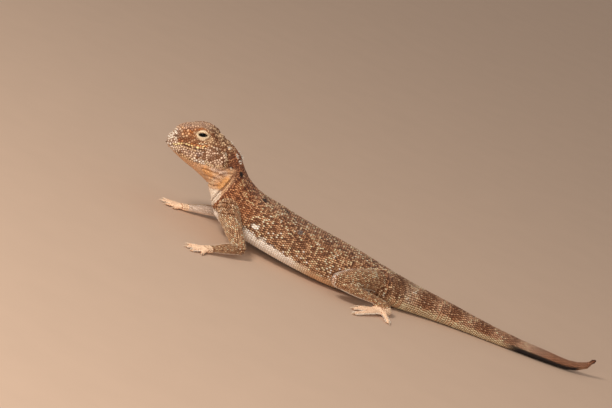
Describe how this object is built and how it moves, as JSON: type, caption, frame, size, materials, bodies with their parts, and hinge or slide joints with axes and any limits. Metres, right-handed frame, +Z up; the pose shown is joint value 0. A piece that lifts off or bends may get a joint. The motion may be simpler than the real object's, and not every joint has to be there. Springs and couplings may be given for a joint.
{
  "type": "secret toad-headed agama",
  "caption": "Still, life-size model of a sand-dwelling toad-headed agama, propped on its arms with its belly and tail on the floor.",
  "frame": {"origin": "middle of the underside of the whole lizard's box, on the floor it lies on", "axes": "+Z up from the floor, +X towards the tail, -X towards the head, -Y the lizard's left side"},
  "size_m": [0.1822, 0.0814, 0.0361],
  "materials": {
    "head_skin": "dry granular skin, sandy brown with cream and rusty grains",
    "trunk_skin": "dry keeled scales in rows, sandy brown with dark and cream grains, pale belly",
    "tail_skin": "dry keeled scales, sandy brown with darker bars, blackish end",
    "limb_skin": "dry keeled scales, sandy brown, pale below",
    "eye": "wet gloss over a dark eye"
  },
  "bodies": {
    "root": {"head": "head_skin", "left_eye": "eye", "left_foot": "limb_skin", "left_forearm": "limb_skin", "left_hand": "limb_skin", "left_shank": "limb_skin", "left_thigh": "limb_skin", "left_upper_arm": "limb_skin", "neck": "trunk_skin", "right_eye": "eye", "right_foot": "limb_skin", "right_forearm": "limb_skin", "right_hand": "limb_skin", "right_shank": "limb_skin", "right_thigh": "limb_skin", "right_upper_arm": "limb_skin", "tail_base": "tail_skin", "tail_middle": "tail_skin", "tail_tip": "tail_skin", "torso": "trunk_skin"}
  },
  "joints": []
}
